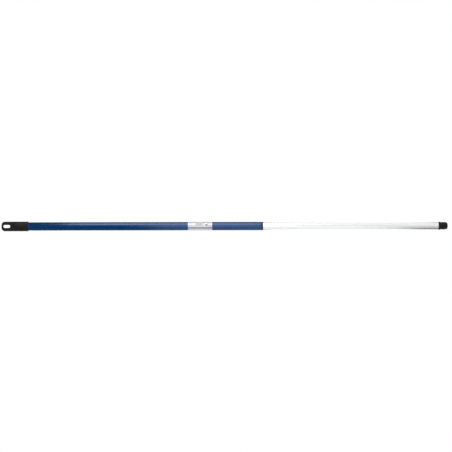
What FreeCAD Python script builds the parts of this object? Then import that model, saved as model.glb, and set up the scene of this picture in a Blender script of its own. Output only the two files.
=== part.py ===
import FreeCAD, Part
import math
import os

# Two-section telescopic boat pole with a hanging cap and a threaded end for a screw-on head.
# Millimetres. X runs along the pole's axis, from the hanging cap towards the threaded end, Z is up,
# and the hanging slot goes through along Y. The origin is the middle of the slot, on the axis.

V = FreeCAD.Vector
ORIGIN = V(0, 0, 0)
AXIS = V(1, 0, 0)

# ---- driving dimensions ------------------------------------------------------------------------
OUTER_OD = 25.0
INNER_OD = 22.0
TUBE_WALL = 1.0

CAP_LENGTH = 81.6
CAP_OD = 29.0
SLOT_LENGTH = 21.4
SLOT_WIDTH = 9.1
SLOT_WEB = 5.5  # plastic between the slot and the cap's closed end

BLUE_LENGTH = 705.2  # outer tube that shows, from the cap's mouth to the tube's cut end
FLANGE_WIDTH = 6.0  # black ring of the bush at the tube's mouth
INNER_SHOWN = 531.0  # inner tube that shows with the pole drawn out
INNER_LENGTH = 680.0

LABEL_FROM_MOUTH = 154.1  # from the bush's front face back to the label's nearer edge
LABEL_LENGTH = 73.6
LABEL_THICKNESS = 0.08
LABEL_GAP = 2.4  # bare strip between the two edges of the wrap
LABEL_GAP_BELOW = 26.0  # degrees below level, on the -Y side

TIP_LENGTH = 28.0
COLLAR_WIDTH = 5.7
COLLAR_OD = 24.0
THREAD_OD = 23.3
THREAD_ROOT_OD = 21.0
THREAD_PITCH = 5.5

BOLT_D = 6.0  # the lock's M6 bolt
NUT_FLATS = 10.0
CONE_TRAVEL = 1.5  # how far the cone backs off when the lock is opened

RUNNING = 0.05  # radial clearance of a part that slides or turns in another
SEAT = 0.01  # radial clearance of a pressed-in part
OVERCUT = 4.0  # how far a cutting shape reaches past what it cuts

# ---- stations along X --------------------------------------------------------------------------
CAP_END = -SLOT_WEB - SLOT_LENGTH / 2
CAP_MOUTH = CAP_END + CAP_LENGTH
SOCKET_DEPTH = 35.4
TUBE_START = CAP_MOUTH - SOCKET_DEPTH
TUBE_END = CAP_MOUTH + BLUE_LENGTH
MOUTH = TUBE_END + FLANGE_WIDTH
COLLAR = MOUTH + INNER_SHOWN
COLLAR_FACE = COLLAR + COLLAR_WIDTH
TIP = COLLAR + TIP_LENGTH
INNER_START = COLLAR - INNER_LENGTH

# ---- radii -------------------------------------------------------------------------------------
CAP_R = CAP_OD / 2
OUTER_R = OUTER_OD / 2
OUTER_BORE_R = OUTER_R - TUBE_WALL
INNER_R = INNER_OD / 2
INNER_BORE_R = INNER_R - TUBE_WALL
NECK_DEPTH = 0.2  # the outer tube's end is drawn down a little where the cap takes it
NECK_R = OUTER_R - NECK_DEPTH

# ---- hanging cap -------------------------------------------------------------------------------
LUG_THICKNESS = 12.0
LUG_END = 13.0  # where the lug's flat faces begin to swell out to the round skirt
LUG_EDGE_R = 1.2
SWELL_R = 16.0
END_DOME_R = 25.0
END_CORNER_R = 9.0
SOCKET_R = 12.6
CRUSH_RIBS = 8
CRUSH_RIB_WIDTH = 1.2
CRUSH_RIB_INSET = 3.0  # from the cap's mouth
CRUSH_RIB_ROOT = 0.3  # how far a rib is rooted in the socket's wall
RIM_GROOVE = CAP_MOUTH - 10.0
RIM_GROOVE_WIDTH = 1.2
RIM_GROOVE_FLOOR = 0.5
RIM_GROOVE_DEPTH = 0.35
MOUTH_EDGE_R = 0.8

# ---- crimps that hold the plastic ends in the inner tube ---------------------------------------
CRIMPS = 4
CRIMP_INSET = 12.0
CRIMP_DEPTH = 0.7
CRIMP_TOOL_R = 4.0
CRIMP_GROOVE_R = 9.2
CRIMP_GROOVE_WIDTH = 5.6

# ---- twist lock --------------------------------------------------------------------------------
PLUG_FLANGE = 4.0
PLUG_FLANGE_GAP = 0.25  # radial gap between the flange and the outer tube's bore
PLUG_EDGE = 0.5
PLUG_HOLE_PLAY = 0.1
POCKET_PLAY = 0.2
PLUG_DEPTH = 34.0
HEAD_THICKNESS = 4.0
HEAD_SEAT = INNER_START + 18.0
BOLT_LENGTH = 70.0
BOLT_CHAMFER = 0.6
THREAD_PLAY = 0.03  # the plain-drawn threads stand this far clear of each other
JAM_NUT_THICKNESS = 3.2
STOP_NUT_THICKNESS = 6.0
WASHER_THICKNESS = 1.0
WASHER_PLAY = 0.2
THRUST_WASHER_R = 9.0
STOP_WASHER_R = 6.0
HEX_CHAMFER = 0.5
SLEEVE_LENGTH = 36.0
SLEEVE_END_WALL = 5.0
SLEEVE_SMALL_R = 6.2  # taper inside the sleeve, at its end wall
SLEEVE_LARGE_R = 9.4  # and at its open end
SLEEVE_SLITS = 4
SLIT_WIDTH = 1.6
SLIT_LENGTH = 25.0
GRIP_GROOVES = 5
GRIP_GROOVE_PITCH = 5.0
GRIP_GROOVE_WIDTH = 1.2
GRIP_GROOVE_DEPTH = 0.35
SLEEVE_CHAMFER = 0.6
SLEEVE_HOLE_PLAY = 0.3
SLEEVE_END_GAP = 0.2
CONE_LENGTH = 18.0
CONE_INSET = 4.2  # the cone's large end, inside the sleeve's open end
CONE_CLEARANCE = 0.06
KEY_WIDTH = 1.4
KEY_R = 10.6
KEY_INSET = 1.0
KEY_LENGTH = 8.0
KEY_ROOT_R = 4.5

PLUG_FACE = INNER_START - PLUG_FLANGE
JAM_FACE = PLUG_FACE - JAM_NUT_THICKNESS
THRUST_FACE = JAM_FACE - WASHER_THICKNESS
SLEEVE_END = THRUST_FACE - SLEEVE_END_GAP
SLEEVE_START = SLEEVE_END - SLEEVE_LENGTH
CONE_START = SLEEVE_START + CONE_INSET
STOP_GAP = 0.3  # left between the stop and the cone when the lock is fully open
STOP_FACE = CONE_START - CONE_TRAVEL - STOP_GAP

# ---- mouth bush --------------------------------------------------------------------------------
BARREL_LENGTH = 28.5
BUSH_PLAY = 0.1
BUSH_BORE_R = INNER_R + BUSH_PLAY
BUSH_SLITS = 3
BUSH_SLIT_LENGTH = 14.0
BUSH_SLIT_WIDTH = 2.0
BUSH_LEAD = 1.5  # lead-in at the barrel's inner end
BUSH_EDGE = 0.4

# ---- threaded end ------------------------------------------------------------------------------
RELIEF = 2.3  # bare neck between the collar and the first thread
THREAD_FADE = 1.2
THREAD_OVERSHOOT = 0.05  # the fade's envelope stands this far outside the crests
COLLAR_EDGE_R = 0.5
NOSE = 6.0  # unthreaded nose beyond the last turn
NOSE_R = 5.8
CREST_WIDTH = 2.6
THREAD_ROOT_WIDTH = 1.6
SPIGOT_LENGTH = 36.0
CORE_R = 7.0
END_WALL = 7.5  # solid plastic left in front of the core
SPIGOT_TAPER = 1.5
SPIGOT_TAPER_DEPTH = 0.8


def turned(profile):
    """Solid of revolution about the pole's axis, from (x, radius) corners."""
    corners = [V(x, 0, r) for x, r in profile]
    face = Part.Face(Part.makePolygon(corners + corners[:1]))
    return face.revolve(ORIGIN, AXIS, 360)


def rod(x0, x1, radius):
    return Part.makeCylinder(radius, x1 - x0, V(x0, 0, 0), AXIS)


def ring(x0, x1, outer, inner):
    return rod(x0, x1, outer).cut(rod(x0, x1, inner))


def block(x0, x1, y0, y1, z0, z1):
    return Part.makeBox(x1 - x0, y1 - y0, z1 - z0, V(x0, y0, z0))


def around(shape, count, first=0.0):
    """Copies of a shape, evenly spaced about the pole's axis."""
    copies = []
    for i in range(count):
        copy = shape.copy()
        copy.rotate(ORIGIN, AXIS, first + i * 360.0 / count)
        copies.append(copy)
    return copies


def hexagon(x0, x1, flats, chamfer):
    """Hexagonal prism along X with its corners turned off at both ends."""
    corner = flats / math.sqrt(3)
    turns = [math.radians(60 * i) for i in range(7)]
    outline = Part.makePolygon([V(x0, corner * math.cos(a), corner * math.sin(a)) for a in turns])
    prism = Part.Face(outline).extrude(V(x1 - x0, 0, 0))
    flat_r = corner - chamfer
    envelope = turned([(x0, 0), (x0, flat_r), (x0 + chamfer, corner),
                       (x1 - chamfer, corner), (x1, flat_r), (x1, 0)])
    return prism.common(envelope)


def rounded(shape, radius, wanted):
    """Rounds the edges that the test picks out."""
    return shape.makeFillet(radius, [edge for edge in shape.Edges if wanted(edge)])


def circle_at(x, radius):
    """Test for a circular edge about the pole's axis."""
    def wanted(edge):
        if edge.Degenerated or not isinstance(edge.Curve, Part.Circle):
            return False
        curve = edge.Curve
        centred = abs(curve.Center.y) + abs(curve.Center.z) < 1e-6
        return centred and abs(curve.Center.x - x) < 1e-4 and abs(curve.Radius - radius) < 1e-4
    return wanted


# ---- outer pole --------------------------------------------------------------------------------
def cap_blank():
    """The cap as turned: a cylinder whose closed end is domed, with a fine groove behind the rim."""
    dome_centre = CAP_END + END_DOME_R
    corner_r = CAP_R - END_CORNER_R
    reach = END_DOME_R - END_CORNER_R
    corner_x = dome_centre - math.sqrt(reach ** 2 - corner_r ** 2)
    slope = math.atan2(corner_r, dome_centre - corner_x)
    middle = (math.pi / 2 + (math.pi - slope)) / 2
    pole_point = V(CAP_END, 0, 0)
    dome_half = V(dome_centre - END_DOME_R * math.cos(slope / 2), 0, END_DOME_R * math.sin(slope / 2))
    dome_end = V(dome_centre - END_DOME_R * math.cos(slope), 0, END_DOME_R * math.sin(slope))
    corner_half = V(corner_x + END_CORNER_R * math.cos(middle), 0,
                    corner_r + END_CORNER_R * math.sin(middle))
    corner_end = V(corner_x, 0, CAP_R)
    edge = RIM_GROOVE_WIDTH / 2
    floor = RIM_GROOVE_FLOOR / 2
    groove_r = CAP_R - RIM_GROOVE_DEPTH
    straight = [corner_end, V(RIM_GROOVE - edge, 0, CAP_R), V(RIM_GROOVE - floor, 0, groove_r),
                V(RIM_GROOVE + floor, 0, groove_r), V(RIM_GROOVE + edge, 0, CAP_R),
                V(CAP_MOUTH, 0, CAP_R), V(CAP_MOUTH, 0, 0), pole_point]
    edges = [Part.Arc(pole_point, dome_half, dome_end).toShape(),
             Part.Arc(dome_end, corner_half, corner_end).toShape()]
    edges += [Part.makeLine(a, b) for a, b in zip(straight, straight[1:])]
    return Part.Face(Part.Wire(edges)).revolve(ORIGIN, AXIS, 360)


def swell_cutter():
    """What is taken off one side of the cap: flat along the lug, curving out to the skirt."""
    flat = LUG_THICKNESS / 2
    far = CAP_R + OVERCUT
    deep = CAP_END - OVERCUT
    turn = math.acos((SWELL_R - (far - flat)) / SWELL_R)
    start = V(LUG_END, flat, -far)
    half = V(LUG_END + SWELL_R * math.sin(turn / 2), flat + SWELL_R * (1 - math.cos(turn / 2)), -far)
    end = V(LUG_END + SWELL_R * math.sin(turn), far, -far)
    corners = [end, V(deep, far, -far), V(deep, flat, -far), start]
    edges = [Part.Arc(start, half, end).toShape()]
    edges += [Part.makeLine(a, b) for a, b in zip(corners, corners[1:])]
    return Part.Face(Part.Wire(edges)).extrude(V(0, 0, 2 * far))


def hanging_slot():
    half = SLOT_LENGTH / 2 - SLOT_WIDTH / 2
    through = CAP_OD
    start = -through / 2
    slot = block(-half, half, start, -start, -SLOT_WIDTH / 2, SLOT_WIDTH / 2)
    for x in (-half, half):
        slot = slot.fuse(Part.makeCylinder(SLOT_WIDTH / 2, through, V(x, start, 0), V(0, 1, 0)))
    return slot.removeSplitter()


def on_lug_outline(edge):
    """Edges round the lug's two flat faces, the slot's mouths and the outline of the swell."""
    box = edge.BoundBox
    level = box.YLength < 1e-3 and abs(abs(box.YMin) - LUG_THICKNESS / 2) < 1e-3
    on_flat = level and box.XMin < LUG_END - 0.5
    one_side = box.YMin * box.YMax > 0
    on_swell = one_side and box.XMin > LUG_END - 0.1 and LUG_END + 1.0 < box.XMax < TUBE_START
    return on_flat or on_swell


def hang_cap():
    cutter = swell_cutter()
    other = cutter.mirror(ORIGIN, V(0, 1, 0))
    cap = cap_blank().cut(cutter).cut(other).cut(hanging_slot())
    cap = rounded(cap, LUG_EDGE_R, on_lug_outline)
    cap = rounded(cap, MOUTH_EDGE_R, circle_at(CAP_MOUTH, CAP_R))
    cap = cap.cut(rod(TUBE_START, CAP_MOUTH, SOCKET_R))
    rib = block(TUBE_START, CAP_MOUTH - CRUSH_RIB_INSET, -CRUSH_RIB_WIDTH / 2,
                CRUSH_RIB_WIDTH / 2, NECK_R + SEAT, SOCKET_R + CRUSH_RIB_ROOT)
    return cap.fuse(around(rib, CRUSH_RIBS)).removeSplitter()


def outer_tube():
    return turned([(TUBE_START, OUTER_BORE_R), (TUBE_START, NECK_R), (CAP_MOUTH, NECK_R),
                   (CAP_MOUTH, OUTER_R), (TUBE_END, OUTER_R), (TUBE_END, OUTER_BORE_R)])


def label():
    """Thin wrap that stops just short of meeting itself."""
    start = MOUTH - LABEL_FROM_MOUTH - LABEL_LENGTH
    wrap = ring(start, start + LABEL_LENGTH, OUTER_R + LABEL_THICKNESS, OUTER_R)
    gap = block(start, start + LABEL_LENGTH, -OUTER_OD, 0, -LABEL_GAP / 2, LABEL_GAP / 2)
    gap.rotate(ORIGIN, AXIS, LABEL_GAP_BELOW)
    return wrap.cut(gap)


def mouth_bush():
    """Nylon guide for the inner tube: a flange flush with the outer tube and a slit barrel in it."""
    barrel_r = OUTER_BORE_R - SEAT
    start = TUBE_END - BARREL_LENGTH
    lead = start + BUSH_LEAD
    bush = turned([(start, BUSH_BORE_R + BUSH_PLAY), (start, barrel_r - BUSH_PLAY), (lead, barrel_r),
                   (TUBE_END, barrel_r), (TUBE_END, OUTER_R), (MOUTH - BUSH_EDGE, OUTER_R),
                   (MOUTH, OUTER_R - BUSH_EDGE), (MOUTH, BUSH_BORE_R + BUSH_EDGE),
                   (MOUTH - BUSH_EDGE, BUSH_BORE_R), (lead, BUSH_BORE_R)])
    slit = block(start, start + BUSH_SLIT_LENGTH, -BUSH_SLIT_WIDTH / 2, BUSH_SLIT_WIDTH / 2,
                 0, OUTER_R)
    return bush.cut(around(slit, BUSH_SLITS, 60))


# ---- inner pole --------------------------------------------------------------------------------
def inner_tube():
    """Inner tube, crimped into the plastic part at each end by dents that push its wall inwards."""
    tube = ring(INNER_START, COLLAR, INNER_R, INNER_BORE_R)
    centre_r = INNER_R - CRIMP_DEPTH + CRIMP_TOOL_R
    for x in (INNER_START + CRIMP_INSET, COLLAR - CRIMP_INSET):
        bulge = Part.makeSphere(CRIMP_TOOL_R + TUBE_WALL, V(x, 0, centre_r))
        bulge = bulge.common(rod(x - CRIMP_TOOL_R * 2, x + CRIMP_TOOL_R * 2, INNER_BORE_R + 0.3))
        dent = Part.makeSphere(CRIMP_TOOL_R, V(x, 0, centre_r))
        tube = tube.fuse(around(bulge, CRIMPS)).cut(around(dent, CRIMPS))
    return tube


def spigot_profile(mouth, end, seat_r):
    """Outline of a plastic spigot pressed in the inner tube, with a groove for the crimps."""
    direction = 1 if end > mouth else -1
    groove = mouth + direction * CRIMP_INSET
    half = direction * CRIMP_GROOVE_WIDTH / 2
    return [(mouth, seat_r), (groove - half, seat_r), (groove - half, CRIMP_GROOVE_R),
            (groove + half, CRIMP_GROOVE_R), (groove + half, seat_r),
            (end - direction * SPIGOT_TAPER, seat_r), (end, seat_r - SPIGOT_TAPER_DEPTH)]


def thread_section():
    """Cross-section of the threaded bar: crest arc, flank, root arc and flank, once round."""
    root = THREAD_ROOT_OD / 2
    crest = THREAD_OD / 2
    degrees = 360.0 / THREAD_PITCH
    crest_turn = CREST_WIDTH * degrees
    root_turn = THREAD_ROOT_WIDTH * degrees
    flank_turn = (360.0 - crest_turn - root_turn) / 2

    def point(radius, turn):
        return V(radius * math.cos(math.radians(turn)), radius * math.sin(math.radians(turn)), 0)

    def arc(radius, turn, sweep):
        ends = [point(radius, turn + share * sweep) for share in (0, 0.5, 1)]
        return Part.Arc(*ends).toShape()

    def flank(turn, r0, r1):
        shares = [i / 5 for i in range(6)]
        curve = Part.BSplineCurve()
        curve.interpolate([point(r0 + (r1 - r0) * k, turn + flank_turn * k) for k in shares])
        return curve.toShape()

    return Part.Wire([arc(crest, 0, crest_turn), flank(crest_turn, crest, root),
                      arc(root, crest_turn + flank_turn, root_turn),
                      flank(360.0 - flank_turn, root, crest)])


def threaded_length(start, end):
    """Right-hand thread: its cross-section drawn along the axis, one turn to each pitch."""
    length = end - start
    sweep = Part.BRepOffsetAPI.MakePipeShell(Part.Wire([Part.makeLine(ORIGIN, V(0, 0, length))]))
    guide = Part.makeHelix(THREAD_PITCH, length, THREAD_OD)
    sweep.setAuxiliarySpine(Part.Wire(guide.Edges), True, 0)
    sweep.add(thread_section())
    sweep.build()
    sweep.makeSolid()
    bar = sweep.shape()
    bar.rotate(ORIGIN, V(0, 1, 0), 90)
    bar.translate(V(start, 0, 0))
    root = THREAD_ROOT_OD / 2
    over = THREAD_OD / 2 + THREAD_OVERSHOOT
    faded = turned([(start, 0), (start, root), (start + THREAD_FADE, over),
                    (end - THREAD_FADE, over), (end, root), (end, 0)])
    return bar.common(faded)


def threaded_end():
    """Collar, coarse thread for a screw-on head, and a cored spigot in the inner tube."""
    root = THREAD_ROOT_OD / 2
    collar_r = COLLAR_OD / 2
    start = COLLAR_FACE + RELIEF
    end = TIP - NOSE
    spigot_end = COLLAR - SPIGOT_LENGTH
    spigot = spigot_profile(COLLAR, spigot_end, INNER_BORE_R - SEAT)
    base = turned([(spigot_end, 0)] + spigot[::-1]
                  + [(COLLAR, collar_r), (COLLAR_FACE, collar_r), (COLLAR_FACE, root),
                     (start, root), (start, 0)])
    base = rounded(base, COLLAR_EDGE_R, circle_at(COLLAR, collar_r))
    nose = rounded(rod(end, TIP, root), NOSE_R, circle_at(TIP, root))
    body = base.fuse([threaded_length(start, end), nose]).removeSplitter()
    return body.cut(rod(spigot_end, TIP - END_WALL, CORE_R))


# ---- twist lock --------------------------------------------------------------------------------
def lock_plug():
    """Nylon plug in the inner tube's end, with a hexagon pocket for the bolt's head."""
    seat_r = INNER_BORE_R - SEAT
    end = INNER_START + PLUG_DEPTH
    flange_r = OUTER_BORE_R - PLUG_FLANGE_GAP
    edge_r = flange_r - PLUG_EDGE
    outline = [(PLUG_FACE, 0), (PLUG_FACE, edge_r), (PLUG_FACE + PLUG_EDGE, flange_r),
               (INNER_START - PLUG_EDGE, flange_r), (INNER_START, edge_r)]
    outline += spigot_profile(INNER_START, end, seat_r) + [(end, 0)]
    body = turned(outline)
    pocket = hexagon(HEAD_SEAT, end + OVERCUT, NUT_FLATS + POCKET_PLAY, 0.01)
    return body.cut(pocket).cut(rod(PLUG_FACE, HEAD_SEAT, BOLT_D / 2 + PLUG_HOLE_PLAY))


def lock_bolt():
    """M6 hexagon-head bolt, its thread drawn plain."""
    radius = BOLT_D / 2 - THREAD_PLAY
    end = HEAD_SEAT - BOLT_LENGTH
    shank = turned([(end, 0), (end, radius - BOLT_CHAMFER), (end + BOLT_CHAMFER, radius),
                    (HEAD_SEAT, radius), (HEAD_SEAT, 0)])
    head = hexagon(HEAD_SEAT, HEAD_SEAT + HEAD_THICKNESS, NUT_FLATS, HEX_CHAMFER)
    return head.fuse(shank)


def nut(x0, x1):
    return hexagon(x0, x1, NUT_FLATS, HEX_CHAMFER).cut(rod(x0, x1, BOLT_D / 2))


def washer(x0, outer):
    return ring(x0, x0 + WASHER_THICKNESS, outer, BOLT_D / 2 + WASHER_PLAY)


def jam_nut():
    return nut(JAM_FACE, PLUG_FACE)


def thrust_washer():
    return washer(THRUST_FACE, THRUST_WASHER_R)


def stop_washer():
    return washer(STOP_FACE - WASHER_THICKNESS, STOP_WASHER_R)


def stop_nut():
    end = STOP_FACE - WASHER_THICKNESS
    return nut(end - STOP_NUT_THICKNESS, end)


def taper_r(x):
    """Radius of the sleeve's tapered bore at a station along X."""
    taper_end = SLEEVE_END - SLEEVE_END_WALL
    share = (taper_end - x) / (taper_end - SLEEVE_START)
    return SLEEVE_SMALL_R + share * (SLEEVE_LARGE_R - SLEEVE_SMALL_R)


def expander_sleeve():
    """Split nylon sleeve that the cone spreads against the outer tube's bore."""
    outer = OUTER_BORE_R - RUNNING
    taper_end = SLEEVE_END - SLEEVE_END_WALL
    hole = BOLT_D / 2 + SLEEVE_HOLE_PLAY
    floor = outer - GRIP_GROOVE_DEPTH
    outline = [(SLEEVE_START, SLEEVE_LARGE_R), (SLEEVE_START, outer - SLEEVE_CHAMFER),
               (SLEEVE_START + SLEEVE_CHAMFER, outer)]
    for i in range(GRIP_GROOVES):
        near = SLEEVE_START + GRIP_GROOVE_PITCH * (i + 1)
        far = near + GRIP_GROOVE_WIDTH
        outline += [(near, outer), (near, floor), (far, floor), (far, outer)]
    outline += [(SLEEVE_END - SLEEVE_CHAMFER, outer), (SLEEVE_END, outer - SLEEVE_CHAMFER),
                (SLEEVE_END, hole), (taper_end, hole), (taper_end, SLEEVE_SMALL_R)]
    slit = block(SLEEVE_START, SLEEVE_START + SLIT_LENGTH, -SLIT_WIDTH / 2, SLIT_WIDTH / 2,
                 BOLT_D / 2, OUTER_R)
    return turned(outline).cut(around(slit, SLEEVE_SLITS))


def cone_nut():
    """Tapered nut on the bolt, kept from turning by keys that ride in the sleeve's slits."""
    end = CONE_START + CONE_LENGTH
    cone = turned([(CONE_START, 0), (CONE_START, taper_r(CONE_START) - CONE_CLEARANCE),
                   (end, taper_r(end) - CONE_CLEARANCE), (end, 0)])
    key_start = CONE_START + KEY_INSET
    key = block(key_start, key_start + KEY_LENGTH, -KEY_WIDTH / 2, KEY_WIDTH / 2,
                KEY_ROOT_R, KEY_R)
    cone = cone.fuse(around(key, SLEEVE_SLITS)).removeSplitter()
    return cone.cut(rod(CONE_START, end, BOLT_D / 2 + THREAD_PLAY))


SUBPARTS = {
    "hang_cap": hang_cap,
    "outer_tube": outer_tube,
    "label": label,
    "mouth_bush": mouth_bush,
    "inner_tube": inner_tube,
    "threaded_end": threaded_end,
    "lock_plug": lock_plug,
    "lock_bolt": lock_bolt,
    "jam_nut": jam_nut,
    "thrust_washer": thrust_washer,
    "expander_sleeve": expander_sleeve,
    "cone_nut": cone_nut,
    "stop_washer": stop_washer,
    "stop_nut": stop_nut,
}


def main():
    os.makedirs("parts", exist_ok=True)
    for name, build in SUBPARTS.items():
        shape = build()
        solids = shape.Solids
        print(f"{name}: {len(solids)} solid, valid {shape.isValid()}, {shape.Volume:.0f} mm3, "
              f"x {shape.BoundBox.XMin:.2f} to {shape.BoundBox.XMax:.2f}")
        solid = solids[0] if len(solids) == 1 else Part.makeCompound(solids)
        solid.exportStep(f"parts/{name}.step")


main()
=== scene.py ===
import math

import bmesh
import bpy
from mathutils import Matrix, Vector


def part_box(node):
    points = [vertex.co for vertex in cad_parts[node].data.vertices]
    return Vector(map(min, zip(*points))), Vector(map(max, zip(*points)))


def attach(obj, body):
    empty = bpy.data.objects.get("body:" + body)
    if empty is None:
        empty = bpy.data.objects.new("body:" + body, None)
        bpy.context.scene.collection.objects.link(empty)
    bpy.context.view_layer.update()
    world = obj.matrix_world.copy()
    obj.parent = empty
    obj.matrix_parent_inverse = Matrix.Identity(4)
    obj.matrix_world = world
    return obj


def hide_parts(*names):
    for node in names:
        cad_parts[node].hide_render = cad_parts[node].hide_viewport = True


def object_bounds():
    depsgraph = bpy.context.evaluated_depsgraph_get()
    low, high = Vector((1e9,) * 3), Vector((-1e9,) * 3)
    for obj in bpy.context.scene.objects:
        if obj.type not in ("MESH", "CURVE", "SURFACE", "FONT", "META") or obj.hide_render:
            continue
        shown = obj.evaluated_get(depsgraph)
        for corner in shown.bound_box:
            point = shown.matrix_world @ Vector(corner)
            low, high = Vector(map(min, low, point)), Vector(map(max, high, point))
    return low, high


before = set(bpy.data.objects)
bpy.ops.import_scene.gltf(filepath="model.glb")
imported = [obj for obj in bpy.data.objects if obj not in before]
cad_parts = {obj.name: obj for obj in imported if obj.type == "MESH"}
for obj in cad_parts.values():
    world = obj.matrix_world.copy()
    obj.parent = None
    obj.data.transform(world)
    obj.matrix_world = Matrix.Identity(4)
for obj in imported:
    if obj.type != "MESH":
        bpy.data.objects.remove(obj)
cad_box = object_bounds()

# Telescopic boat pole. Metres and degrees. X runs along the pole from the hanging cap to the
# threaded end, Z is up, and the origin is the middle of the cap's slot, on the pole's axis.
# Angles round the pole start at +Z and turn about +X, so 90 faces the camera.

MM = 0.001
FRONT = 90.0
WELD = 0.001 * MM  # points closer than this are one
SHARP_OVER = 35.0  # edges that turn more than this stay sharp

# ---- shapes that the frame's boxes don't give ----------------------------------------------------
TUBE_WALL = 1.0 * MM
NECK_DEPTH = 0.2 * MM  # the outer tube is drawn down a little where the cap takes it
END_BEVEL = 0.15 * MM
RING_STEP = 10.0 * MM
TUBE_SEGMENTS = 144
ARC_STEP = 10.0
CRIMP_SPACING = 90.0  # four dents round the tube
CRIMP_INSET = 12.0 * MM
CRIMP_DEPTH = 0.7 * MM
CRIMP_TOOL_R = 4.0 * MM
CRIMP_RING_STEP = 0.4 * MM
LABEL_GAP = 2.4 * MM
LABEL_GAP_AT = FRONT + 26.0
LABEL_BEVEL = 0.02 * MM
LABEL_GAP_SHADE = 0.5 * MM  # painted shade, darkest at the wrap's two edges and fading out over this width, deepening the gap between them
LABEL_PANEL = (11.4 * MM, 61.0 * MM)  # silver panel, from the label's edge nearer the cap
LABEL_BAND_BLEND = (20 * MM, 50 * MM)  # the white end bands differ a little in tint
LABEL_SQUARE = (52.6 * MM, 59.4 * MM)
LABEL_SQUARE_UP = (2.0 * MM, 6.4 * MM)  # heights are measured round the tube from level
LABEL_BARS_FROM = 24.8 * MM
LABEL_BAR_LENGTHS = (24.0 * MM, 19.0 * MM, 22.0 * MM)
LABEL_BARS_TOP = 8.2 * MM
LABEL_BAR_STEP = 2.4 * MM
LABEL_BAR_HEIGHT = 1.1 * MM
PANEL_EDGE = 0.15 * MM
PRINT_EDGE = 0.1 * MM

COLLAR_WIDTH = 5.7 * MM
COLLAR_EDGE_R = 0.5 * MM
THREAD_R = 11.65 * MM
THREAD_ROOT_R = 10.5 * MM
THREAD_PITCH = 5.5 * MM
THREAD_RELIEF = 2.3 * MM  # bare neck between the collar and the first thread
THREAD_FADE = 1.2 * MM
THREAD_RING_STEP = 0.12 * MM
CREST_WIDTH = 2.6 * MM
THREAD_ROOT_WIDTH = 1.6 * MM
NOSE = 6.0 * MM
NOSE_R = 5.8 * MM
CORE_R = 7.0 * MM
END_WALL = 7.5 * MM
SPIGOT_TAPER = 1.5 * MM

# ---- finishes ------------------------------------------------------------------------------------
NOISE_SPAN = (0.3, 0.7)  # where nearly all of a noise's values lie
PLASTIC_CLOUD = 0.82  # how dark moulded plastic's cloudy patches are
PLASTIC_ROUGHNESS_PLAY = 0.05
PARTING_LINE = (0.06 * MM, 0.16 * MM)  # half widths of its crest and of its foot

# ---- colours, linear; a pair is the two ends of a mix --------------------------------------------
BLUE = ((0.0031, 0.037, 0.124), (0.0037, 0.044, 0.148))
SILVER_WHITE = ((0.855, 0.86, 0.865), (0.815, 0.82, 0.825))
LABEL_SILVER = ((0.49, 0.5, 0.51), (0.61, 0.615, 0.62))
LABEL_BANDS = ((0.51, 0.55, 0.65), (0.51, 0.505, 0.57))
PRINT_GREY = (0.16, 0.165, 0.175)
# painted shade colour for the label beside its gap
GAP_SHADE_GREY = (0.05, 0.055, 0.065)
ZINC = ((0.56, 0.57, 0.6), (0.66, 0.64, 0.58))
CAP_BLACK = (0.009, 0.0086, 0.0082)
THREAD_BLACK = (0.005, 0.005, 0.005)
BUSH_BLACK = (0.02, 0.02, 0.022)
PLUG_BLACK = (0.03, 0.03, 0.032)
CONE_BLACK = (0.05, 0.05, 0.055)
NATURAL_NYLON = (0.72, 0.7, 0.64)

# ---- camera --------------------------------------------------------------------------------------
CAMERA_DISTANCE = 6.4
FRAME_WIDTH = 1.3696  # what the picture's width spans at the pole
AIM_PAST_MIDDLE = 4.5 * MM  # along the pole from the middle of its length
AIM_ABOVE_AXIS = 0.3 * MM
CAMERA_ROLL = -0.1
SENSOR_WIDTH = 36.0
CAMERA_REACH = 100.0

# ---- studio --------------------------------------------------------------------------------------
FLOOR_Z = -1.5
FLOOR_R = 5.0
FLOOR_RINGS = 10
FLOOR_SEGMENTS = 96
FLOOR_GREY = 0.4
FLOOR_ROUGHNESS = 0.9
FLOOR_GLOW = (0.55, 1.0)  # under the pole and at the floor's edge
FLOOR_GLOW_FROM = 0.5
ENDS_FROM = (0.2, 0.6)  # how far a direction leans along the pole, where the ends' light fades in
ENDS_GLOW = 0.65
BACK_FROM = (-0.1, 0.5)  # how far it leans away from the camera, where the back's light fades in
BACK_GLOW = (0.05, 0.15)
BOX_OFF = 2.0  # how far the softboxes stand from the pole
LOW_BOX_OFF = 1.3  # those under it stand above the floor
# Name, lower and upper edge in degrees, distance, start and end along the pole, radiance.
SOFTBOXES = (
    ("softbox_high", 30.0, 92.0, BOX_OFF, 0.02, 0.82, 3.8),
    ("softbox_high_far", 25.0, 105.0, BOX_OFF, 0.82, 2.1, 0.95),
    ("softbox_back_far", 106.0, 180.0, BOX_OFF, 0.82, 1.5, 1.0),
    ("softbox_front", -25.0, 27.0, BOX_OFF, 0.36, 0.82, 1.8),
    ("softbox_front_far", -36.0, 22.0, BOX_OFF, 0.82, 1.38, 0.92),
    ("softbox_front_end", -12.0, 22.0, BOX_OFF, 1.38, 1.9, 0.92),
    ("softbox_low", -115.0, -30.0, LOW_BOX_OFF, 0.4, 1.31, 0.9),
    ("softbox_low_far", -88.0, -12.0, LOW_BOX_OFF, 1.31, 1.9, 0.38),
    ("softbox_back_low", -180.0, -116.0, LOW_BOX_OFF, 0.82, 1.35, 1.0),
)


def span(start, end, step):
    """Evenly spaced places from start to end, about a step apart, both ends included."""
    count = max(1, round(abs(end - start) / step))
    return [start + (end - start) * i / count for i in range(count + 1)]


def around_pole(x, radius, degrees):
    turn = math.radians(degrees)
    return Vector((x, -radius * math.sin(turn), radius * math.cos(turn)))


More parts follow.
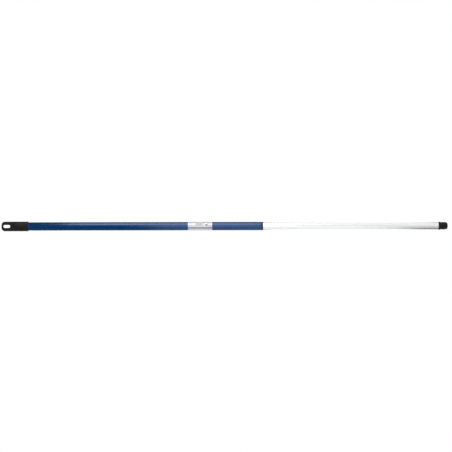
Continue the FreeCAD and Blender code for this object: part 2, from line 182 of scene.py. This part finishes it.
def finish_mesh(name, mesh_builder):
    """Object from a bmesh, smooth shaded except over its sharp edges."""
    bmesh.ops.recalc_face_normals(mesh_builder, faces=mesh_builder.faces)
    mesh = bpy.data.meshes.new(name)
    mesh_builder.to_mesh(mesh)
    mesh_builder.free()
    mesh.shade_smooth()
    mesh.set_sharp_from_angle(angle=math.radians(SHARP_OVER))
    made = bpy.data.objects.new(name, mesh)
    bpy.context.scene.collection.objects.link(made)
    return made


def turned(name, loop, segments, start=0.0, sweep=360.0, shape=None):
    """Closed skin from a loop of (x, radius) turned about the pole's axis.

    The loop closes on itself, or starts and ends on the axis. shape(x, radius, degrees) may give
    another radius, for dents and threads.
    """
    whole = sweep >= 360.0
    columns = segments if whole else segments + 1
    on_axis = loop[0][1] == 0 and loop[-1][1] == 0
    builder = bmesh.new()
    grid = []
    for i in range(columns):
        degrees = start + sweep * i / segments
        column = []
        for x, radius in loop:
            r = shape(x, radius, degrees) if shape else radius
            column.append(builder.verts.new(around_pole(x, r, degrees)))
        grid.append(column)
    for i in range(segments):
        here = grid[i]
        there = grid[(i + 1) % columns]
        for j in range(len(loop) - on_axis):
            k = (j + 1) % len(loop)
            builder.faces.new((here[j], there[j], there[k], here[k]))
    if not whole:
        builder.faces.new(grid[0])
        builder.faces.new(reversed(grid[-1]))
    if on_axis:
        bmesh.ops.remove_doubles(builder, verts=builder.verts, dist=WELD)
    return finish_mesh(name, builder)


def dress(piece, material):
    piece.data.materials.clear()
    piece.data.materials.append(material)


# ---- new pieces ----------------------------------------------------------------------------------
def make_outer_tube(material):
    """Blue tube in fine rings, with its necked end under the cap and a bevel at both cut ends."""
    low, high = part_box("outer_tube")
    cap_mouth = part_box("hang_cap")[1].x
    outer = high.z
    neck = outer - NECK_DEPTH
    bore = outer - TUBE_WALL
    skin = [(low.x, bore + END_BEVEL), (low.x, neck - END_BEVEL), (low.x + END_BEVEL, neck)]
    skin += [(x, neck) for x in span(low.x + RING_STEP, cap_mouth - NECK_DEPTH, RING_STEP)]
    skin += [(x, outer) for x in span(cap_mouth + NECK_DEPTH, high.x - END_BEVEL, RING_STEP)]
    skin += [(high.x, outer - END_BEVEL), (high.x, bore + END_BEVEL)]
    skin += [(x, bore) for x in span(high.x - END_BEVEL, low.x + END_BEVEL, RING_STEP)]
    tube = turned("blue_tube", skin, TUBE_SEGMENTS)
    dress(tube, material)
    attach(tube, "outer_pole")
    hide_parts("outer_tube")


def crimped(places, outer):
    """Radius with the dents that a round-nosed tool leaves round the tube at each place."""
    centre = outer - CRIMP_DEPTH + CRIMP_TOOL_R

    def shape(x, radius, degrees):
        off = (degrees + CRIMP_SPACING / 2) % CRIMP_SPACING - CRIMP_SPACING / 2
        along = min(abs(x - place) for place in places)
        reach = CRIMP_TOOL_R ** 2 - along ** 2 - (centre * math.sin(math.radians(off))) ** 2
        if reach <= 0:
            return radius
        pressed = centre * math.cos(math.radians(off)) - math.sqrt(reach)
        return radius - max(0.0, outer - pressed)
    return shape


def make_inner_tube(material):
    """White tube, in fine rings, dented at each end where it is crimped on its plastic part."""
    low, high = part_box("inner_tube")
    outer = high.z
    bore = outer - TUBE_WALL
    near = low.x + CRIMP_INSET
    far = high.x - CRIMP_INSET
    reach = CRIMP_TOOL_R
    rings = span(low.x + END_BEVEL, near - reach, RING_STEP)
    rings += span(near - reach, near + reach, CRIMP_RING_STEP)[1:]
    rings += span(near + reach, far - reach, RING_STEP)[1:]
    rings += span(far - reach, far + reach, CRIMP_RING_STEP)[1:]
    rings += span(far + reach, high.x - END_BEVEL, RING_STEP)[1:]
    skin = [(low.x, bore + END_BEVEL), (low.x, outer - END_BEVEL)]
    skin += [(x, outer) for x in rings]
    skin += [(high.x, outer - END_BEVEL), (high.x, bore + END_BEVEL)]
    skin += [(x, bore) for x in reversed(rings)]
    tube = turned("white_tube", skin, 2 * TUBE_SEGMENTS, shape=crimped((near, far), outer))
    dress(tube, material)
    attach(tube, "inner_pole")
    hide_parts("inner_tube")


def smooth(share):
    """0 to 1, easing in and out."""
    share = min(1.0, max(0.0, share))
    return share * share * (3 - 2 * share)


def threaded(start, end):
    """Radius of a right-hand moulded thread: rounded crests and roots, faded out at both ends."""
    crest = CREST_WIDTH / THREAD_PITCH
    root = THREAD_ROOT_WIDTH / THREAD_PITCH
    flank = (1.0 - crest - root) / 2
    middle = (start + end) / 2

    def shape(x, radius, degrees):
        if not start < x < end or radius < THREAD_ROOT_R:
            return radius
        turns = (x - start) / THREAD_PITCH - degrees / 360.0
        off_crest = abs((turns + 0.5) % 1.0 - 0.5) - crest / 2
        height = 1.0 - smooth(off_crest / flank)
        height *= smooth((end - start - 2 * abs(x - middle)) / (2 * THREAD_FADE))
        return THREAD_ROOT_R + (THREAD_R - THREAD_ROOT_R) * height
    return shape


def arc(x, radius, bend, first, last):
    """Points of an arc of radius bend about (x, radius), between two angles measured from +X."""
    turns = [math.radians(t) for t in span(first, last, ARC_STEP)]
    return [(x + bend * math.cos(t), radius + bend * math.sin(t)) for t in turns]


def make_threaded_end(material):
    """Black collar, coarse thread with a rounded nose, and the spigot crimped in the inner tube."""
    low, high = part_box("threaded_end")
    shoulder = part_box("inner_tube")[1].x
    face = shoulder + COLLAR_WIDTH
    collar_r = high.z
    spigot_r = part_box("inner_tube")[1].z - TUBE_WALL
    start = face + THREAD_RELIEF
    end = high.x - NOSE
    bevel = END_BEVEL
    skin = [(high.x - END_WALL, 0), (high.x - END_WALL, CORE_R), (low.x, CORE_R)]
    skin += [(low.x, spigot_r - SPIGOT_TAPER / 2), (low.x + SPIGOT_TAPER, spigot_r)]
    skin += [(shoulder, spigot_r)]
    skin += arc(shoulder + COLLAR_EDGE_R, collar_r - COLLAR_EDGE_R, COLLAR_EDGE_R, 180.0, 90.0)
    skin += arc(face - bevel, collar_r - bevel, bevel, 90.0, 0.0)
    skin += arc(face + bevel, THREAD_ROOT_R + bevel, bevel, 180.0, 270.0)
    skin += [(x, THREAD_ROOT_R) for x in span(start, end, THREAD_RING_STEP)]
    skin += arc(high.x - NOSE_R, THREAD_ROOT_R - NOSE_R, NOSE_R, 90.0, 0.0)
    skin += [(high.x, 0)]
    tip = turned("threaded_tip", skin, 2 * TUBE_SEGMENTS, shape=threaded(start, end))
    dress(tip, material)
    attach(tip, "inner_pole")
    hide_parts("threaded_end")


def make_label(material):
    """Wrapped label whose two edges stop short of each other, low on the camera's side."""
    low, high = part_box("label")
    outer = high.z
    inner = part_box("outer_tube")[1].z
    gap = math.degrees(LABEL_GAP / outer)
    skin = [(low.x, inner), (low.x, outer - LABEL_BEVEL)]
    skin += [(x, outer) for x in span(low.x + LABEL_BEVEL, high.x - LABEL_BEVEL, RING_STEP)]
    skin += [(high.x, outer - LABEL_BEVEL), (high.x, inner)]
    skin += [(x, inner) for x in span(high.x - LABEL_BEVEL, low.x + LABEL_BEVEL, RING_STEP)]
    wrap = turned("label_wrap", skin, TUBE_SEGMENTS, LABEL_GAP_AT + gap / 2, 360.0 - gap)
    dress(wrap, material)
    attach(wrap, "outer_pole")
    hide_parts("label")


# ---- materials -----------------------------------------------------------------------------------
class Surface:
    """A procedural material, built up node by node on one Principled shader."""

    MIX_A, MIX_B, MIX_RESULT = 6, 7, 2  # the Mix node's colour sockets

    def __init__(self, name, **values):
        self.material = bpy.data.materials.new(name)
        self.material.use_nodes = True
        self.tree = self.material.node_tree
        self.shader = self.tree.nodes["Principled BSDF"]
        self.place = self.node("TexCoord").outputs["Object"]
        self.normal = None
        for socket, value in values.items():
            self.shader.inputs[socket.replace("_", " ")].default_value = value

    def node(self, kind, *inputs, **settings):
        made = self.tree.nodes.new("ShaderNode" + kind)
        for name, value in settings.items():
            setattr(made, name, value)
        for socket, value in inputs:
            self.feed(made.inputs[socket], value)
        return made

    def feed(self, socket, value):
        if isinstance(value, bpy.types.NodeSocket):
            self.tree.links.new(value, socket)
        else:
            socket.default_value = value

    def math(self, operation, *values, clamp=False):
        inputs = list(enumerate(values))
        return self.node("Math", *inputs, operation=operation, use_clamp=clamp).outputs[0]

    def axes(self):
        split = self.node("SeparateXYZ", (0, self.place))
        return split.outputs[0], split.outputs[1], split.outputs[2]

    def noise(self, size, along=1.0, detail=2.0):
        """Noise with marks of a size in metres, drawn out along the pole if along is over 1."""
        scaled = self.node("Mapping", (0, self.place), (3, (1 / along, 1, 1)))
        made = self.node("TexNoise", ("Vector", scaled.outputs[0]), ("Scale", 1 / size),
                         ("Detail", detail))
        return made.outputs["Fac"]

    def spread(self, value, low, high, to_low=0.0, to_high=1.0):
        """Value from low to high becomes to_low to to_high, and stays between them."""
        made = self.node("MapRange", ("Value", value), ("From Min", low), ("From Max", high),
                         ("To Min", to_low), ("To Max", to_high))
        return made.outputs[0]

    def mix(self, share, a, b):
        """Colour a where share is 0 and b where it is 1."""
        made = self.node("Mix", (0, share), data_type="RGBA")
        for socket, value in ((self.MIX_A, a), (self.MIX_B, b)):
            colour = value if isinstance(value, bpy.types.NodeSocket) else (*value, 1.0)
            self.feed(made.inputs[socket], colour)
        return made.outputs[self.MIX_RESULT]

    def inside(self, value, low, high, edge):
        """1 where value lies between low and high, falling to 0 over an edge's width."""
        rise = self.spread(value, low - edge, low)
        fall = self.spread(value, high, high + edge, 1.0, 0.0)
        return self.math("MULTIPLY", rise, fall)

    def colour(self, value):
        self.feed(self.shader.inputs["Base Color"], value)

    def roughness(self, value):
        self.feed(self.shader.inputs["Roughness"], value)

    def relief(self, height, depth):
        """Raises the surface by depth where height is 1."""
        made = self.node("Bump", ("Height", height), ("Distance", depth), ("Strength", 1.0))
        if self.normal:
            self.feed(made.inputs["Normal"], self.normal)
        self.normal = made.outputs["Normal"]
        self.feed(self.shader.inputs["Normal"], self.normal)


def blue_enamel():
    """Glossy, slightly metallic blue lacquer: orange peel over the drawn tube's faint lines."""
    s = Surface("blue_enamel", IOR=1.5, Metallic=0.25)
    clouds = s.noise(size=18 * MM, detail=3.0)
    s.colour(s.mix(s.spread(clouds, *NOISE_SPAN), *BLUE))
    lines = s.noise(size=0.5 * MM, along=200.0)
    s.roughness(s.spread(lines, *NOISE_SPAN, to_low=0.09, to_high=0.15))
    s.relief(s.noise(size=1.1 * MM), depth=0.006 * MM)
    s.relief(lines, depth=0.0015 * MM)
    return s.material


def satin_silver():
    """Satin silver-white aluminium, drawn lengthwise and lightly rubbed by the bush."""
    s = Surface("satin_silver", Metallic=0.92)
    rubs = s.noise(size=0.35 * MM, along=300.0, detail=3.0)
    s.colour(s.mix(s.spread(rubs, low=0.45, high=0.75), *SILVER_WHITE))
    s.roughness(s.spread(rubs, low=0.3, high=0.75, to_low=0.16, to_high=0.24))
    s.relief(rubs, depth=0.0006 * MM)
    return s.material


def label_foil():
    """Printed foil label: silver panel with plain grey marks between two white end bands, with
    painted shade darkening the label beside the gap between its two edges.
    """
    s = Surface("label_foil", IOR=1.5, Metallic=0.25)
    low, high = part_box("label")
    x, y, z = s.axes()
    along = s.math("SUBTRACT", x, low.x)
    turn = s.math("ARCTAN2", s.math("MULTIPLY", y, -1.0), z)
    level = s.math("SUBTRACT", turn, math.radians(FRONT))
    up = s.math("MULTIPLY", level, -high.z)
    panel = s.inside(along, *LABEL_PANEL, PANEL_EDGE)
    brushed = s.noise(size=0.12 * MM, along=80.0)
    silver = s.mix(brushed, *LABEL_SILVER)
    bands = s.mix(s.spread(along, *LABEL_BAND_BLEND), *LABEL_BANDS)
    base = s.mix(panel, bands, silver)
    marks = s.math("MULTIPLY", s.inside(along, *LABEL_SQUARE, PRINT_EDGE),
                   s.inside(up, *LABEL_SQUARE_UP, PRINT_EDGE))
    for i, length in enumerate(LABEL_BAR_LENGTHS):
        bottom = LABEL_BARS_TOP - LABEL_BAR_STEP * i
        bar = s.math("MULTIPLY",
                     s.inside(along, LABEL_BARS_FROM, LABEL_BARS_FROM + length, PRINT_EDGE),
                     s.inside(up, bottom, bottom + LABEL_BAR_HEIGHT, PRINT_EDGE))
        marks = s.math("MAXIMUM", marks, bar)
    printed = s.mix(marks, base, PRINT_GREY)
    # Painted shade: the label darkens towards both edges of its gap, standing in for shade in the
    # gap.
    off_gap = s.math("ABSOLUTE", s.math("SUBTRACT", turn, math.radians(LABEL_GAP_AT)))
    edge = LABEL_GAP / 2 / high.z
    gap_shade = s.spread(off_gap, edge, edge + LABEL_GAP_SHADE / high.z, 1.0, 0.0)
    s.colour(s.mix(gap_shade, printed, GAP_SHADE_GREY))
    s.roughness(s.spread(brushed, low=0.2, high=0.8, to_low=0.24, to_high=0.36))
    s.relief(brushed, depth=0.001 * MM)
    return s.material


def moulded_plastic(name, base, roughness, grain, depth):
    """Moulded plastic whose tool was spark-eroded: an even fine grain and slight cloudiness."""
    s = Surface(name, IOR=1.48, Specular_IOR_Level=0.26)
    clouds = s.noise(size=6 * MM, detail=3.0)
    darker = tuple(PLASTIC_CLOUD * c for c in base)
    s.colour(s.mix(s.spread(clouds, *NOISE_SPAN), darker, base))
    s.roughness(s.spread(s.noise(size=2 * MM), *NOISE_SPAN,
                         to_low=roughness - PLASTIC_ROUGHNESS_PLAY,
                         to_high=roughness + PLASTIC_ROUGHNESS_PLAY))
    s.relief(s.noise(grain, detail=3.0), depth)
    return s


def cap_plastic():
    """Matt black cap, with the mould's parting line along the middle of its edges."""
    s = moulded_plastic("cap_plastic", CAP_BLACK, roughness=0.52, grain=0.45 * MM, depth=0.03 * MM)
    y = s.axes()[1]
    s.relief(s.spread(s.math("ABSOLUTE", y), *PARTING_LINE, 1.0, 0.0), depth=0.06 * MM)
    return s.material


def turned_plastic(name, base, roughness):
    """Plastic of the turned pieces, with a finer and shallower grain than the cap's."""
    s = moulded_plastic(name, base, roughness, grain=0.3 * MM, depth=0.01 * MM)
    return s.material


def zinc_plate():
    """Bright zinc on steel, slightly spangled, with the faintest yellow and blue tints."""
    s = Surface("zinc_plate", Metallic=1.0)
    spangle = s.noise(size=2.5 * MM, detail=3.0)
    s.colour(s.mix(s.spread(spangle, low=0.35, high=0.65), *ZINC))
    s.roughness(s.spread(s.noise(size=0.6 * MM), *NOISE_SPAN, to_low=0.28, to_high=0.42))
    s.relief(s.noise(size=0.25 * MM), depth=0.006 * MM)
    return s.material


# ---- studio --------------------------------------------------------------------------------------
def light_world():
    """White backdrop for the camera. It lights the pole from both ends, dimly from behind, and
    hardly at all from the front, where the softboxes are."""
    world = bpy.data.worlds.new("studio")
    world.use_nodes = True
    bpy.context.scene.world = world
    tree = world.node_tree
    tree.nodes.clear()

    def node(kind, **settings):
        made = tree.nodes.new("ShaderNode" + kind)
        for name, value in settings.items():
            setattr(made, name, value)
        return made

    def ramp(value, low, high, to_low, to_high):
        made = node("MapRange", interpolation_type="SMOOTHSTEP")
        tree.links.new(value, made.inputs["Value"])
        for i, end in enumerate((low, high, to_low, to_high)):
            made.inputs[i + 1].default_value = end
        return made.outputs[0]

    direction = node("TexCoord")
    split = node("SeparateXYZ")
    tree.links.new(direction.outputs["Generated"], split.inputs[0])
    off_square = node("Math", operation="ABSOLUTE")
    tree.links.new(split.outputs[0], off_square.inputs[0])
    towards_ends = ramp(off_square.outputs[0], *ENDS_FROM, 0.0, ENDS_GLOW)
    towards_back = ramp(split.outputs[1], *BACK_FROM, *BACK_GLOW)
    level = node("Math", operation="ADD")
    tree.links.new(towards_ends, level.inputs[0])
    tree.links.new(towards_back, level.inputs[1])
    dim = node("Background")
    tree.links.new(level.outputs[0], dim.inputs["Strength"])
    white = node("Background")
    white.inputs["Color"].default_value = (1, 1, 1, 1)
    dim.inputs["Color"].default_value = (1, 1, 1, 1)
    seen = node("LightPath")
    both = node("MixShader")
    tree.links.new(seen.outputs["Is Camera Ray"], both.inputs[0])
    tree.links.new(dim.outputs[0], both.inputs[1])
    tree.links.new(white.outputs[0], both.inputs[2])
    out = node("OutputWorld")
    tree.links.new(both.outputs[0], out.inputs[0])


def softbox(name, lowest, highest, distance, x0, x1, radiance):
    """Soft light turned square to the pole, from x0 to x1 along it. Its lower and upper edges are
    angles seen from the pole, from level on the camera's side and upwards."""
    tall = 2 * distance * math.tan(math.radians((highest - lowest) / 2))
    lamp = bpy.data.lights.new(name, "AREA")
    lamp.shape = "RECTANGLE"
    lamp.size = x1 - x0
    lamp.size_y = tall
    lamp.energy = radiance * math.pi * lamp.size * tall
    up = math.radians((lowest + highest) / 2)
    side = Vector((1, 0, 0))
    back = Vector((0, -math.cos(up), math.sin(up)))
    facing = Matrix((side, back.cross(side), back)).transposed().to_4x4()
    light = bpy.data.objects.new(name, lamp)
    light.matrix_world = Matrix.Translation(side * (x0 + x1) / 2 + back * distance) @ facing
    light.visible_camera = False
    bpy.context.scene.collection.objects.link(light)


def lay_floor(middle):
    """Pale round floor well under the pole, lit to the backdrop's white towards its edge."""
    builder = bmesh.new()
    hub = builder.verts.new((middle, 0, FLOOR_Z))
    last = None
    for i in range(1, FLOOR_RINGS + 1):
        radius = FLOOR_R * i / FLOOR_RINGS
        turns = [2 * math.pi * k / FLOOR_SEGMENTS for k in range(FLOOR_SEGMENTS)]
        ring = [builder.verts.new((middle + radius * math.cos(t), radius * math.sin(t), FLOOR_Z))
                for t in turns]
        for k in range(FLOOR_SEGMENTS):
            m = (k + 1) % FLOOR_SEGMENTS
            outside = (ring[k], ring[m])
            builder.faces.new((hub, *outside) if last is None else (last[k], *outside, last[m]))
        last = ring
    floor = finish_mesh("floor", builder)
    floor.visible_glossy = False
    floor.visible_shadow = False
    s = Surface("pale_floor", Roughness=FLOOR_ROUGHNESS)
    s.colour((FLOOR_GREY, FLOOR_GREY, FLOOR_GREY, 1.0))
    s.feed(s.shader.inputs["Emission Color"], (1.0, 1.0, 1.0, 1.0))
    x, y, _ = s.axes()
    out_x = s.math("SUBTRACT", x, middle)
    out = s.math("SQRT", s.math("ADD", s.math("MULTIPLY", out_x, out_x), s.math("MULTIPLY", y, y)))
    glow = s.spread(out, FLOOR_GLOW_FROM, FLOOR_R, *FLOOR_GLOW)
    s.feed(s.shader.inputs["Emission Strength"], glow)
    dress(floor, s.material)


def light_studio():
    light_world()
    for box in SOFTBOXES:
        softbox(*box)


def place_camera(middle):
    lens = bpy.data.cameras.new("camera")
    lens.sensor_width = SENSOR_WIDTH
    lens.lens = SENSOR_WIDTH * CAMERA_DISTANCE / FRAME_WIDTH
    lens.clip_end = CAMERA_REACH
    camera = bpy.data.objects.new("camera", lens)
    stand = Vector((middle + AIM_PAST_MIDDLE, -CAMERA_DISTANCE, AIM_ABOVE_AXIS))
    level = Matrix.Rotation(math.radians(90), 4, "X")
    roll = Matrix.Rotation(math.radians(CAMERA_ROLL), 4, "Z")
    camera.matrix_world = Matrix.Translation(stand) @ level @ roll
    bpy.context.scene.collection.objects.link(camera)
    bpy.context.scene.camera = camera


def dress_nodes():
    """Materials for the CAD nodes that are shown as they are."""
    nylon = turned_plastic("natural_nylon", NATURAL_NYLON, roughness=0.42)
    zinc = zinc_plate()
    looks = {
        "hang_cap": cap_plastic(),
        "mouth_bush": turned_plastic("bush_plastic", BUSH_BLACK, roughness=0.42),
        "lock_plug": turned_plastic("plug_plastic", PLUG_BLACK, roughness=0.45),
        "expander_sleeve": nylon,
        "cone_nut": turned_plastic("cone_plastic", CONE_BLACK, roughness=0.4),
        "lock_bolt": zinc,
        "jam_nut": zinc,
        "thrust_washer": zinc,
        "stop_washer": zinc,
        "stop_nut": zinc,
    }
    for name, material in looks.items():
        dress(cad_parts[name], material)


def main():
    bpy.context.scene.view_settings.view_transform = "Standard"
    middle = (cad_box[0].x + cad_box[1].x) / 2
    place_camera(middle)
    light_studio()
    lay_floor(middle)
    dress_nodes()
    make_outer_tube(blue_enamel())
    make_inner_tube(satin_silver())
    make_threaded_end(turned_plastic("thread_plastic", THREAD_BLACK, roughness=0.42))
    make_label(label_foil())


main()
